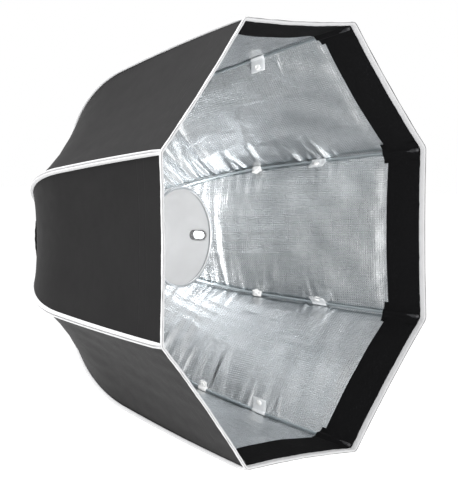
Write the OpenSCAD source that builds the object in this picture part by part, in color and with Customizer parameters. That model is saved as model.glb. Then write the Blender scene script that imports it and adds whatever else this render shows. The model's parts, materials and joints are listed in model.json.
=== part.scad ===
// Folding octabox: an eight-ribbed cloth softbox on a rotating lamp ring,
// with a bowl reflector fixed in its middle.
// Millimetres. The mouth faces -Y, +Z is up, and the origin is the centre of
// the lamp ring's rear face. Modules are drawn with the mouth along +Z and
// turned to face -Y by face_forward().

/* [Mouth] */
// Width of the octagonal mouth across its flats
across_flats = 600; // [480:1:760]
// Width of the binding sewn round the mouth
binding_w = 8; // [5:0.5:14]
// Width of the loop-tape band inside the mouth
band_w = 56; // [30:1:80]

/* [Ribs] */
// Distance from the lamp ring's rear face to the mouth
mouth_depth = 410; // [330:1:500]
// Diameter of a rib rod
rod_d = 4; // [3:0.5:6]
// Angle between a rod's tip and the axis
tip_angle = 15; // [8:0.5:22]
// Bow radius of the front of a rod
front_bow_r = 3600; // [2000:10:6000]
// Length of the gently bowed front of a rod
front_len = 233; // [150:1:260]
// How far a rod's tip stops behind the mouth
tip_setback = 12; // [8:1:20]
// Straight root of a rod, measured from its hinge pin
root_straight = 26; // [20:1:36]
// Radius at which the hinge pins sit
pin_r = 96; // [92:0.5:110]
// Height of the hinge pins in front of the lamp ring's rear face
pin_z = 29; // [27:0.5:36]
// How far each rib folds inwards
fold_angle = 32; // [20:1:34]

/* [Cloth] */
// Thickness of the black outer cloth
cloth_t = 1; // [0.6:0.1:1.5]
// Thickness of the silver lining
lining_t = 0.6; // [0.4:0.1:1]
// Thickness of the loop-tape band
band_t = 1.2; // [0.8:0.1:2]
// Thickness of the mouth binding
binding_t = 1.3; // [0.8:0.1:2]
// Diameter of the piping along each outer seam
piping_d = 4.4; // [3:0.2:7]
// How far the cloth hangs in between two ribs at half depth
sag_mid = 9; // [0:0.5:14]
// How far the cloth's edge bows in between two ribs at the mouth
sag_mouth = 3; // [0:0.5:6]

/* [Lamp ring] */
// Radius of the hole that the lamp shines through
lamp_bore_r = 44; // [40:0.5:48]
// Wall of the bayonet collar, round that hole
collar_wall = 5; // [3:0.5:6]
// Length of the bayonet collar behind the lamp ring
collar_len = 12; // [9:0.5:16]
// Outside radius of the lamp ring's flange
flange_r = 80; // [76:0.5:81]
// Thickness of the lamp ring's flange
flange_t = 7; // [6:0.5:9]

/* [Hub] */
// Width of the hub's raised rim outside the hinge pins
hub_lip = 8; // [6.5:0.5:12]
// Thickness of the hub plate
hub_t = 6; // [5:0.5:8]
// Diameter of the hinge pins
hinge_pin_d = 4; // [3:0.5:5]
// Width of a rib's knuckle along its pin
knuckle_w = 10; // [8:0.5:12]
// Length of a knuckle's heel, from its pin to the slide collar's groove
heel_len = 13; // [12:0.5:14]

/* [Reflector bowl] */
// Distance from the mouth back to the bowl's rim
bowl_setback = 214; // [190:1:240]
// Radius of the bowl's rim
bowl_rim_r = 68; // [60:0.5:70]
// Length of the umbrella slot in the bowl's side
slot_len = 28; // [18:1:36]
// Width of the umbrella slot
slot_w = 14; // [9:0.5:18]

/* [Hidden] */
RIBS = 8;
HALF = 180 / RIBS;
function numbered(name, suffix = "") = [for (k = [1:RIBS]) str(name, "_", k, suffix)];

run_gap = 0.3;       // between parts that turn or slide on each other
shaft_gap = 0.05;    // radial clearance of a pin in its bore
sheet_gap = 0.2;     // between two layers of cloth
fitting_gap = 0.5;   // how much wider than the rod the hole in a fitting is
rod_r = rod_d / 2;
collar_r = lamp_bore_r + collar_wall;
hub_r = pin_r + hub_lip;
corner_r = across_flats / 2 / cos(HALF);

// Tip cap and clip on a rod
cap_d = rod_d + 2;
cap_len = 15;
cap_over = 3;

// Cloth layers, as offsets outwards from the rod's centre line
band_in = cap_d / 2 + 0.7;
band_out = band_in + band_t;
lining_in = band_out + sheet_gap;
lining_out = lining_in + lining_t;
cloth_in = lining_out + sheet_gap;
cloth_out = cloth_in + cloth_t;
binding_in = cloth_out + sheet_gap;
binding_out = binding_in + binding_t;
piping_at = cloth_out + run_gap + piping_d / 2;

// The rod's path in its own plane, as [radius, height], from its tip back to its pin:
// a gentle arc, a tighter arc tangent to it, and a straight that runs into the pin.
// An angle is measured from the axis to the rod's direction.
function along(a) = [sin(a), cos(a)];
function outward(a) = [cos(a), -sin(a)];
function turned(len, r) = len / r * 180 / PI;
pin = [pin_r, pin_z];
tip = [corner_r - tip_setback * tan(tip_angle), mouth_depth - tip_setback]
    - cloth_out * outward(tip_angle);
front_centre = tip - front_bow_r * outward(tip_angle);
join_angle = tip_angle + turned(front_len, front_bow_r);
join = front_centre + front_bow_r * outward(join_angle);
from_pin = join - pin;
tangent_len = (from_pin * from_pin - root_straight ^ 2) / (2 * (root_straight + from_pin * along(join_angle)));
corner = join - tangent_len * along(join_angle);
root_angle = atan2(corner[0] - pin[0], corner[1] - pin[1]);
rear_bow_r = tangent_len / tan((root_angle - join_angle) / 2);
rear_centre = join - rear_bow_r * outward(join_angle);
rear_len = rear_bow_r * (root_angle - join_angle) * PI / 180;
root_start = pin + root_straight * along(root_angle);
bow_len = front_len + rear_len;

function path_angle(s) =
    s < 0 ? tip_angle
    : s < front_len ? tip_angle + turned(s, front_bow_r)
    : s < bow_len ? join_angle + turned(s - front_len, rear_bow_r)
    : root_angle;
function path_point(s) =
    s < 0 ? tip - s * along(tip_angle)
    : s < front_len ? front_centre + front_bow_r * outward(path_angle(s))
    : s < bow_len ? rear_centre + rear_bow_r * outward(path_angle(s))
    : root_start - (s - bow_len) * along(root_angle);
function beside(s, offset) = path_point(s) + offset * outward(path_angle(s));

// Where a layer at this offset meets the mouth
function mouth_s(offset) = -(mouth_depth - tip[1] + offset * sin(tip_angle)) / cos(tip_angle);
cloth_end = bow_len + 12;
socket_depth = 18;
rod_end = bow_len + socket_depth;

// Hub stack, as heights in front of the lamp ring's rear face
hub_z = flange_t + run_gap;
hub_top = hub_z + hub_t;
spigot_r = lamp_bore_r + 14;
keeper_z = hub_top + run_gap;
keeper_t = 3;
bowl_z = keeper_z + keeper_t;
bowl_flange_t = 1.2;
bowl_rim_z = mouth_depth - bowl_setback;
bowl_wall = 1;
bowl_base_r = lamp_bore_r + 2;
screw_ring_r = (lamp_bore_r + spigot_r) / 2 + 1.5;
screw_d = 3;
screw_head_d = 5.4;

// Knuckle, heel and slide collar
ear_t = 3.5;
ear_gap = knuckle_w / 2 + run_gap;
barrel_r = hinge_pin_d / 2 + 3.5;
socket_d = rod_d + 4.4;
heel_d = 5;
heel_tilt = fold_angle / 2;
heel = pin + heel_len * [-cos(heel_tilt), sin(heel_tilt)];
sleeve_r = pin_r - heel_len - heel_d / 2 - 3.5;
sleeve_wall = 3;
keeper_r = spigot_r + 0.75 * (sleeve_r - sleeve_wall - spigot_r);
collar_in_r = sleeve_r + run_gap;
groove_r = collar_in_r + 2.7;
rim_r = pin_r - barrel_r - 4;
groove_half = heel_d / 2 + run_gap;
rim_t = 2.5;

// The hub's raised rim, which carries the hinge ears clear of the slide collar
hub_wall_t = 4;
hub_wall_r = rim_r + 1 + hub_wall_t;
hub_rim_z = pin_z - 13;
hub_rim_t = 4;
hub_rim_top = hub_rim_z + hub_rim_t;
slide_travel = 2 * heel_len * sin(heel_tilt);
sleeve_top = heel[1] + groove_half + rim_t + run_gap + 3;

// Cloth cuff, from the hub's rim up to the end of the cloth
cuff_t = 1.2;
cuff_top_z = pin_z - 6.5;
cuff_flare = 9.5;

// Lock knob, at the bottom of the hub
knob_z = flange_t / 2;
knob_screw_d = 5;
knob_neck_d = 12;
knob_neck_len = 4;
knob_d = 22;
knob_len = 11;
boss_w = 18;
boss_end_r = hub_wall_r + 4;
knob_face_r = boss_end_r + 3;

module face_forward() {
    rotate([90, 0, 0]) children();
}
module at_rib(k) {
    face_forward() rotate([0, 0, HALF * (2 * k - 1)]) children();
}

// ---- Sweeps along the rod's path ----
// A round bar of this diameter that follows the path at an offset, with a ring at each place in s_list
module path_bar(d, offset, s_list, sides = 12) {
    rings = len(s_list);
    points = [for (s = s_list) let (p = beside(s, offset), a = path_angle(s)) for (j = [0:sides - 1])
        let (t = 360 * j / sides, side = d / 2 * cos(t) * outward(a))
        [p[0] + side[0], d / 2 * sin(t), p[1] + side[1]]];
    skin = [for (i = [0:rings - 2]) for (j = [0:sides - 1]) let (n = (j + 1) % sides) each [
        [i * sides + j, i * sides + n, (i + 1) * sides + n],
        [i * sides + j, (i + 1) * sides + n, (i + 1) * sides + j]]];
    front_end = [[for (j = [sides - 1:-1:0]) j]];
    back_end = [[for (j = [0:sides - 1]) (rings - 1) * sides + j]];
    polyhedron(points = points, faces = concat(skin, front_end, back_end), convexity = 4);
}
module on_path(s, offset = 0) {
    p = beside(s, offset);
    translate([p[0], 0, p[1]]) rotate([0, path_angle(s), 0]) children();
}

// ---- Cloth ----
// A half gore runs from its rib, at across = 0, to the middle between two ribs, at across = 1.
// Both edges stand clear of the next half by half a sheet_gap.
function sag(s, offset) =
    let (u = (s - mouth_s(offset)) / (cloth_end - mouth_s(offset)))
    sag_mouth + sag_mid * sin(180 * min(u, 1));
function gore_point(s, offset, across) =
    let (p = beside(s, offset),
         flat = p[0] * cos(HALF) - sag(s, offset) * (1 - (1 - across) ^ 2),
         side = -p[0] * sin(HALF) * (1 - across) + sheet_gap * (0.75 - across))
    [flat * cos(HALF) - side * sin(HALF), flat * sin(HALF) + side * cos(HALF), p[1]];
function steps(from, to, count) = [for (i = [0:count]) from + (to - from) * i / count];

module half_sheet(s_list, outer, inner, across_steps = 3) {
    rows = len(s_list);
    cols = across_steps + 1;
    side_count = rows * cols;
    points = [
        for (offset = [outer, inner]) for (i = [0:rows - 1]) for (j = [0:across_steps])
            gore_point(i == 0 && s_list[0] < 0 ? s_list[0] + mouth_s(offset) - mouth_s(outer)
                       : s_list[i], offset, j / across_steps)];
    function grid(i, j, layer) = layer * side_count + i * cols + j;
    skins = [for (i = [0:rows - 2]) for (j = [0:cols - 2]) each [
        [grid(i, j, 0), grid(i, j + 1, 0), grid(i + 1, j + 1, 0)],
        [grid(i, j, 0), grid(i + 1, j + 1, 0), grid(i + 1, j, 0)],
        [grid(i, j, 1), grid(i + 1, j + 1, 1), grid(i, j + 1, 1)],
        [grid(i, j, 1), grid(i + 1, j, 1), grid(i + 1, j + 1, 1)]]];
    ends = [for (j = [0:cols - 2]) each [
        [grid(0, j, 0), grid(0, j, 1), grid(0, j + 1, 1)],
        [grid(0, j, 0), grid(0, j + 1, 1), grid(0, j + 1, 0)],
        [grid(rows - 1, j, 0), grid(rows - 1, j + 1, 1), grid(rows - 1, j, 1)],
        [grid(rows - 1, j, 0), grid(rows - 1, j + 1, 0), grid(rows - 1, j + 1, 1)]]];
    sides = [for (i = [0:rows - 2]) each [
        [grid(i, 0, 0), grid(i + 1, 0, 1), grid(i, 0, 1)],
        [grid(i, 0, 0), grid(i + 1, 0, 0), grid(i + 1, 0, 1)],
        [grid(i, cols - 1, 0), grid(i, cols - 1, 1), grid(i + 1, cols - 1, 1)],
        [grid(i, cols - 1, 0), grid(i + 1, cols - 1, 1), grid(i + 1, cols - 1, 0)]]];
    polyhedron(points = points, faces = concat(skins, ends, sides), convexity = 6);
}

module half_gore() {
    band_end = mouth_s(band_out) + band_w;
    binding_start = mouth_s(binding_out);
    stations = concat([0, band_end, (band_end + front_len) / 2, front_len],
        steps(front_len + rear_len / 5, bow_len, 4), [cloth_end]);
    color([0.11, 0.11, 0.115])
        half_sheet(concat([mouth_s(cloth_out)], stations), cloth_out, cloth_in);
    color([0.78, 0.79, 0.82])
        half_sheet(concat([mouth_s(lining_out)], stations), lining_out, lining_in);
    color([0.04, 0.04, 0.045])
        half_sheet([mouth_s(band_out), 0, band_end], band_out, band_in);
    color([0.72, 0.72, 0.73])
        half_sheet([binding_start, binding_start + binding_w], binding_out, binding_in);
}

// "left" is the half gore that lies anticlockwise of its rib, seen from in front of the mouth.
module cloth_left(k) {
    at_rib(k) half_gore();
}
module cloth_right(k) {
    at_rib(k) mirror([0, 1, 0]) half_gore();
}

// ---- Ribs ----
module rod(k) {
    stations = concat(steps(0, front_len, 3), steps(front_len + rear_len / 12, bow_len, 11), [rod_end]);
    color([0.45, 0.5, 0.52]) at_rib(k) path_bar(rod_d, 0, stations);
}

module piping(k) {
    behind_binding = mouth_s(binding_out) + binding_w + run_gap + piping_d * sin(tip_angle);
    stations = concat(steps(behind_binding, front_len, 3),
        steps(front_len + rear_len / 9, bow_len, 8), [cloth_end]);
    color([0.62, 0.62, 0.64]) at_rib(k) path_bar(piping_d, piping_at, stations, 10);
}

module knuckle(k) {
    socket_len = root_straight - 1;
    color([0.12, 0.12, 0.13]) at_rib(k) difference() {
        union() {
            translate([pin[0], 0, pin[1]]) rotate([90, 0, 0])
                cylinder(r = barrel_r, h = knuckle_w, center = true, $fn = 48);
            translate([pin[0], 0, pin[1]]) rotate([0, root_angle, 0])
                cylinder(d = socket_d, h = socket_len, $fn = 48);
            translate([pin[0], 0, pin[1]]) rotate([0, -90 + heel_tilt, 0])
                translate([-1.2, -3, 0]) cube([2.4, 6, heel_len]);
            translate([heel[0], 0, heel[1]]) rotate([90, 0, 0])
                cylinder(d = heel_d, h = 6, center = true, $fn = 32);
        }
        translate([pin[0], 0, pin[1]]) rotate([90, 0, 0])
            cylinder(d = hinge_pin_d + 2 * shaft_gap, h = knuckle_w + 2, center = true, $fn = 48);
        on_path(rod_end) cylinder(d = rod_d, h = socket_depth + 2, $fn = 24);
    }
}

// Tip cap in its pocket, the white rod clip, and the baffle tab with its snap stud
clip_s = front_len + 17;
clip_len = 13;
clip_d = rod_d + 3.2;
clip_shift = 0.9;
clip_leg = 6;
clip_leg_t = 2.4;
tab_s = 0.65 * front_len;
tab_w = 22;
tab_len = 20;
tab_t = 1.2;
snap_d = 9;
snap_t = 2.5;
pocket_s = 4;
pocket_len = 14;
module fittings(k) {
    color([0.05, 0.05, 0.055]) at_rib(k) difference() {
        on_path(cap_len) cylinder(d = cap_d, h = cap_len + cap_over, $fn = 32);
        path_bar(rod_d + 2 * shaft_gap, 0, [-shaft_gap, cap_len + 10], 24);
    }
    color([0.06, 0.06, 0.065]) at_rib(k) on_path(pocket_s) pocket_fold();
    color([0.92, 0.92, 0.9]) at_rib(k) on_path(clip_s) translate([0, 0, -clip_len / 2]) difference() {
        union() {
            translate([-clip_shift, 0, 0]) cylinder(d = clip_d, h = clip_len, $fn = 32);
            translate([-rod_r - clip_leg, -clip_leg_t / 2, 2])
                cube([rod_r + clip_leg, clip_leg_t, clip_len - 4]);
        }
        translate([0, 0, -1]) cylinder(d = rod_d + fitting_gap, h = clip_len + 2, $fn = 32);
    }
    color([0.75, 0.76, 0.78]) at_rib(k) on_path(tab_s) baffle_tab();
    color([0.85, 0.85, 0.83]) at_rib(k) on_path(tab_s)
        translate([-rod_r - tab_len + 6, 0, 0]) rotate([-90, 0, 0])
            translate([0, 0, tab_t / 2 + shaft_gap]) cylinder(d = snap_d, h = snap_t, $fn = 32);
}

// The pocket is a bent strip across the inside of the tip cap, parallel to the cloth on both sides
module pocket_fold() {
    arm = 12;
    back = cap_d / 2 + 0.2;
    fold = 0.8;
    linear_extrude(pocket_len) polygon([
        [-back, 0], [-back - arm * sin(HALF), arm * cos(HALF)],
        [-back - fold - arm * sin(HALF), arm * cos(HALF)], [-back - fold, 0],
        [-back - fold - arm * sin(HALF), -arm * cos(HALF)], [-back - arm * sin(HALF), -arm * cos(HALF)]]);
}
module baffle_tab() {
    difference() {
        translate([-rod_r - tab_len, -tab_t / 2, -tab_w / 2]) cube([tab_len + rod_r, tab_t, tab_w]);
        translate([0, 0, -tab_w]) cylinder(d = rod_d + fitting_gap, h = 2 * tab_w, $fn = 32);
    }
}

// ---- Lamp ring and bowl ----
module mount_ring() {
    lug_t = 4;
    lug_out = 6;
    color([0.66, 0.67, 0.69]) face_forward() {
        difference() {
            union() {
                rotate_extrude($fn = 144) polygon([
                    [lamp_bore_r, -collar_len], [collar_r, -collar_len], [collar_r, 0], [flange_r, 0],
                    [flange_r, flange_t], [spigot_r, flange_t], [spigot_r, keeper_z],
                    [lamp_bore_r, keeper_z]]);
                for (a = [90, 210, 330]) rotate([0, 0, a - 15]) translate([0, 0, -collar_len])
                    rotate_extrude(angle = 30, $fn = 144)
                        translate([collar_r - 1, 0]) square([lug_out, lug_t]);
            }
            for (k = [0:3]) rotate([0, 0, 90 * k + 45]) translate([screw_ring_r, 0, keeper_z - 6])
                cylinder(d = screw_d, h = 7, $fn = 24);
        }
    }
}

module retaining_ring() {
    color([0.25, 0.26, 0.27]) face_forward() difference() {
        translate([0, 0, keeper_z]) cylinder(r = keeper_r, h = keeper_t, $fn = 144);
        translate([0, 0, keeper_z - 1]) cylinder(r = bowl_base_r, h = keeper_t + 2, $fn = 144);
        screw_holes();
    }
}
module screw_holes() {
    for (k = [0:3]) rotate([0, 0, 90 * k + 45]) translate([screw_ring_r, 0, keeper_z - 1])
        cylinder(d = screw_d, h = keeper_t + bowl_flange_t + 3, $fn = 24);
}
module ring_screws() {
    color([0.55, 0.56, 0.58]) face_forward() for (k = [0:3]) rotate([0, 0, 90 * k + 45])
        translate([screw_ring_r, 0, keeper_z - 6]) {
            cylinder(d = screw_d, h = 6 + keeper_t + bowl_flange_t, $fn = 24);
            translate([0, 0, 6 + keeper_t + bowl_flange_t]) difference() {
                cylinder(d = screw_head_d, h = 2.2, $fn = 24);
                translate([-screw_head_d, -0.4, 1.2]) cube([screw_head_d * 2, 0.8, 2]);
            }
        }
}

bowl_steps = 16;
bead_d = 4;
function bowl_r(u) = bowl_base_r + (bowl_rim_r - bowl_base_r) * (0.55 * sin(90 * u) + 0.45 * u);
function bowl_point(u, offset) = [bowl_r(u) + offset, bowl_z + (bowl_rim_z - bowl_z) * u];
slot_z = bowl_rim_z - 8 - slot_len / 2;
module through_slot(grow, r_from, r_to) {
    width = slot_w + 2 * grow;
    straight = slot_len - slot_w;
    translate([r_from, 0, slot_z]) rotate([0, 90, 0]) linear_extrude(r_to - r_from) {
        for (e = [-1, 1]) translate([e * straight / 2, 0]) circle(d = width, $fn = 48);
        square([straight, width], center = true);
    }
}
module reflector_bowl() {
    color([0.8, 0.81, 0.82]) face_forward() difference() {
        union() {
            rotate_extrude($fn = 144) polygon(concat(
                [for (i = [0:bowl_steps]) bowl_point(i / bowl_steps, 0)],
                [for (i = [0:bowl_steps]) bowl_point(1 - i / bowl_steps, bowl_wall)]));
            translate([0, 0, bowl_rim_z]) rotate_extrude($fn = 144)
                translate([bowl_rim_r + bowl_wall, 0]) circle(d = bead_d, $fn = 24);
            rotate_extrude($fn = 144) translate([bowl_base_r, bowl_z])
                square([screw_ring_r + screw_head_d / 2 + 1 - bowl_base_r, bowl_flange_t]);
        }
        through_slot(0, bowl_base_r, bowl_rim_r + 6);
        screw_holes();
    }
}
module slot_grommet() {
    slot_bowl_r = bowl_r((slot_z - bowl_z) / (bowl_rim_z - bowl_z));
    liner_t = 1.3;
    color([0.9, 0.9, 0.91]) face_forward() difference() {
        through_slot(0, slot_bowl_r - 2, slot_bowl_r + 5);
        through_slot(-liner_t, slot_bowl_r - 3, slot_bowl_r + 6);
    }
}

// ---- Hub ----
module hub_plate() {
    ear_depth = hinge_pin_d + 7;
    skirt_t = 3.5;
    color([0.17, 0.17, 0.18]) face_forward() difference() {
        union() {
            rotate_extrude($fn = 144) polygon([
                [spigot_r + run_gap, hub_z], [hub_wall_r, hub_z], [hub_wall_r, hub_rim_z],
                [hub_r, hub_rim_z], [hub_r, hub_rim_top], [hub_wall_r - hub_wall_t, hub_rim_top],
                [hub_wall_r - hub_wall_t, hub_top], [spigot_r + run_gap, hub_top]]);
            rotate_extrude($fn = 144) translate([flange_r + run_gap, 0])
                square([skirt_t, hub_z + 1]);
            rotate([0, 0, -90]) translate([flange_r + 2, -boss_w / 2, knob_z - knob_screw_d / 2 - 5])
                cube([boss_end_r - flange_r - 2, boss_w, hub_z + 1 - (knob_z - knob_screw_d / 2 - 5)]);
            for (k = [1:RIBS]) rotate([0, 0, HALF * (2 * k - 1)]) for (e = [0, 1])
                mirror([0, e, 0]) translate([pin_r, ear_gap, 0]) {
                    translate([-ear_depth / 2, 0, hub_rim_top - 1])
                        cube([ear_depth, ear_t, pin_z - hub_rim_top + 1]);
                    translate([0, ear_t, pin_z]) rotate([90, 0, 0])
                        cylinder(d = ear_depth, h = ear_t, $fn = 48);
                }
        }
        for (k = [1:RIBS]) rotate([0, 0, HALF * (2 * k - 1)]) translate([pin_r, 0, pin_z])
            rotate([90, 0, 0]) cylinder(d = hinge_pin_d, h = knuckle_w + 20, center = true, $fn = 48);
        rotate([0, 0, -90]) translate([flange_r - 1, 0, knob_z]) rotate([0, 90, 0])
            cylinder(d = knob_screw_d + 2 * shaft_gap, h = boss_end_r - flange_r + 2, $fn = 48);
    }
}
module hinge_pins() {
    pin_len = 2 * (ear_gap + ear_t + 0.8);
    color([0.7, 0.7, 0.72]) face_forward() for (k = [1:RIBS]) rotate([0, 0, HALF * (2 * k - 1)])
        translate([pin_r, 0, pin_z]) rotate([90, 0, 0])
            cylinder(d = hinge_pin_d, h = pin_len, center = true, $fn = 48);
}
module guide_sleeve() {
    lip_z = sleeve_top - 3;
    color([0.6, 0.61, 0.63]) face_forward() rotate_extrude($fn = 144) polygon([
        [sleeve_r - sleeve_wall, hub_top], [sleeve_r, hub_top], [sleeve_r, lip_z],
        [groove_r + 2, lip_z], [groove_r + 2, sleeve_top], [sleeve_r - sleeve_wall, sleeve_top]]);
}
module slide_collar() {
    low = heel[1] - groove_half;
    high = heel[1] + groove_half;
    color([0.14, 0.14, 0.15]) face_forward() rotate_extrude($fn = 144) polygon([
        [collar_in_r, low - rim_t], [rim_r, low - rim_t], [rim_r, low], [groove_r, low],
        [groove_r, high], [rim_r, high], [rim_r, high + rim_t], [collar_in_r, high + rim_t]]);
}
module detent_springs() {
    collar_low = heel[1] - groove_half - rim_t;
    leaf_w = 8;
    color([0.6, 0.6, 0.62]) face_forward() for (a = [0, 90, 180, 270]) rotate([0, 0, a])
        translate([0, leaf_w / 2, 0]) rotate([90, 0, 0]) linear_extrude(leaf_w) polygon([
            [sleeve_r + 0.2, hub_top], [sleeve_r + 0.8, hub_top], [sleeve_r + 0.8, collar_low - 8],
            [sleeve_r + 3, collar_low - 0.1], [sleeve_r + 0.6, collar_low - 0.1],
            [sleeve_r + 0.2, collar_low - 4]]);
}
module back_cuff() {
    color([0.13, 0.13, 0.14]) face_forward() rotate_extrude($fn = 144) polygon([
        [hub_r, hub_rim_z], [hub_r + cuff_t, hub_rim_z], [hub_r + cuff_t, hub_rim_top - cuff_t],
        [hub_r + cuff_flare, cuff_top_z - cuff_t], [hub_r + cuff_flare, cuff_top_z],
        [hub_r, hub_rim_top]]);
}
module lock_knob() {
    flutes = 7;
    flute_d = 9;
    color([0.1, 0.1, 0.11]) face_forward() rotate([0, 0, -90]) translate([0, 0, knob_z]) rotate([0, 90, 0]) {
        translate([0, 0, flange_r + run_gap]) cylinder(d = knob_screw_d, h = knob_face_r - flange_r, $fn = 48);
        translate([0, 0, knob_face_r]) difference() {
            union() {
                cylinder(d = knob_neck_d, h = knob_neck_len, $fn = 48);
                translate([0, 0, knob_neck_len]) cylinder(d = knob_d, h = knob_len, $fn = 96);
            }
            for (k = [1:flutes]) rotate([0, 0, k * 360 / flutes])
                translate([knob_d / 2 + 2.5, 0, knob_neck_len - 1])
                    cylinder(d = flute_d, h = knob_len + 2, $fn = 32);
        }
    }
}

mount_ring();
retaining_ring();
ring_screws();
reflector_bowl();
slot_grommet();
hub_plate();
guide_sleeve();
hinge_pins();
detent_springs();
back_cuff();
slide_collar();
lock_knob();
for (k = [1:RIBS]) {
    knuckle(k);
    rod(k);
    fittings(k);
    piping(k);
    cloth_left(k);
    cloth_right(k);
}
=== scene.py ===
"""Folding octabox: cloth, ribs, fittings, bowl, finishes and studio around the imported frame."""
import json
import math

import bpy
import numpy as np
from mathutils import Matrix, Vector


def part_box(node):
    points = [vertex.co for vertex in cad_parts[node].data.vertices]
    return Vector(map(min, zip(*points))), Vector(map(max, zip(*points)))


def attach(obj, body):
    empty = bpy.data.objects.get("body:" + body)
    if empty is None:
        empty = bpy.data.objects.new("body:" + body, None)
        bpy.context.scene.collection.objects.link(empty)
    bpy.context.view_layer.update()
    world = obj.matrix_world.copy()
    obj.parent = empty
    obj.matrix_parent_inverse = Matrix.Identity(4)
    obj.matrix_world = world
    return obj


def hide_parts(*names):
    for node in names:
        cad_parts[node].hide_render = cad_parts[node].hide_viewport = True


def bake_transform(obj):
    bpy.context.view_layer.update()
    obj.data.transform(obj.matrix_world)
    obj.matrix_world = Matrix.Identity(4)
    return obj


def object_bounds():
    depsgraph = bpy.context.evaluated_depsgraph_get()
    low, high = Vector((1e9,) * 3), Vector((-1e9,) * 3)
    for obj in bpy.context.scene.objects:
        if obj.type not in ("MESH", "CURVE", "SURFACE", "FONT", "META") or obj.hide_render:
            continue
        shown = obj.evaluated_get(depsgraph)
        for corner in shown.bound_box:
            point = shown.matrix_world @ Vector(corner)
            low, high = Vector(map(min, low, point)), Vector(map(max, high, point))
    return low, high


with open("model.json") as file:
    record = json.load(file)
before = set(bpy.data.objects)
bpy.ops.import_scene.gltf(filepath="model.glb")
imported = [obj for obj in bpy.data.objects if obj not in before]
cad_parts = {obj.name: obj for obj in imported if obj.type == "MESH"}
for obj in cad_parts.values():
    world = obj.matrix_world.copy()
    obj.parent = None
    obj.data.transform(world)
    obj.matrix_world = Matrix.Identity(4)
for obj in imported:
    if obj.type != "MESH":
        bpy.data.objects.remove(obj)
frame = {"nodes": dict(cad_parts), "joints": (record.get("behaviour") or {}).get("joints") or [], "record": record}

cad_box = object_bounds()

# ---------------------------------------------------------------- sizes, in metres
RIBS = 8
HALF = math.pi / RIBS
MM = 0.001
FORWARD = np.array([0.0, -1.0, 0.0])

ACROSS_FLATS = 0.600
TIP_ANGLE = math.radians(15)
FRONT_BOW_R = 3.600
FRONT_LEN = 0.233
TIP_SETBACK = 0.012
ROOT_STRAIGHT = 0.026
ROD_R = 0.002
CAP_R = 0.003
BAND_W = 0.056
BINDING_W = 0.0078
BINDING_BACK = 0.0022
SAG_MID = 0.009
SAG_MOUTH = 0.003

# Cloth layers, as offsets outwards from a rod's centre line
BAND_AT = 0.0040
LINING_AT = 0.0053
CLOTH_AT = 0.0069
BINDING_OUT = 0.0077
BINDING_IN = 0.0033

# Grid counts, waves and seeds of the cloth
CLOTH_ROWS = 60
CLOTH_COLS = 26
LINING_COLS = 40
LINING_ROW = 0.0022
PUCKER_PITCH = 0.013
GATHER_FROM = 0.150
TAB_PUCKERS = 0.151
CLOTH_SEED, LINING_SEED, BAND_SEED, BINDING_SEED = 100, 200, 300, 400

# Threads and grids woven into the cloth
NYLON_THREAD = 0.9 * MM
RIPSTOP = 0.006
SILVER_GRID = 0.0034
REAR_STITCH = 0.041

# Places of the small fittings along a rib, from its tip, and the order of axes that lays a turned part
# sideways
TAB_PLACE = 0.65 * FRONT_LEN
CLIP_PLACE = FRONT_LEN + 0.017
SIDEWAYS = [0, 2, 1]

# Where a half gore starts to turn from its rib to its pleat, measured from the rib's plane at the mouth,
# over what length it turns, and how far that line leans from tangential towards the mouth
PLEAT_START = -0.046
PLEAT_LENGTH = 0.247
PLEAT_LEAN = 0.131

fold = next(j for j in frame["joints"] if j["name"] == "rib_1_fold")
PIN = np.array([math.hypot(fold["pos_m"][0], fold["pos_m"][2]), -fold["pos_m"][1]])
MOUTH = -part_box("cloth_1_left")[0].y
bore = next(m for m in frame["record"]["mounts"] if m["name"] == "lamp_bore")
LAMP_R = bore["dims"]["r_mm"] * MM


# ---------------------------------------------------------------- the rib's path
def along(angle):
    return np.array([np.sin(angle), np.cos(angle)])


def outward(angle):
    return np.array([np.cos(angle), -np.sin(angle)])


tip = np.array([ACROSS_FLATS / 2 / math.cos(HALF) - TIP_SETBACK * math.tan(TIP_ANGLE), MOUTH - TIP_SETBACK])
tip = tip - CLOTH_AT * outward(TIP_ANGLE)
front_centre = tip - FRONT_BOW_R * outward(TIP_ANGLE)
join_angle = TIP_ANGLE + FRONT_LEN / FRONT_BOW_R
join = front_centre + FRONT_BOW_R * outward(join_angle)
from_pin = join - PIN
tangent = (from_pin @ from_pin - ROOT_STRAIGHT**2) / (2 * (ROOT_STRAIGHT + from_pin @ along(join_angle)))
corner = join - tangent * along(join_angle)
root_angle = math.atan2(corner[0] - PIN[0], corner[1] - PIN[1])
rear_bow_r = tangent / math.tan((root_angle - join_angle) / 2)
rear_centre = join - rear_bow_r * outward(join_angle)
rear_len = rear_bow_r * (root_angle - join_angle)
root_start = PIN + ROOT_STRAIGHT * along(root_angle)
BOW_LEN = FRONT_LEN + rear_len
CLOTH_END = BOW_LEN + 0.012


def path_angle(s):
    """Angle between the axis and the rib's direction, at a distance s from its tip."""
    s = np.asarray(s, float)
    front = TIP_ANGLE + np.clip(s, 0, FRONT_LEN) / FRONT_BOW_R
    rear = np.clip(s - FRONT_LEN, 0, rear_len) / rear_bow_r
    return front + rear


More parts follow.
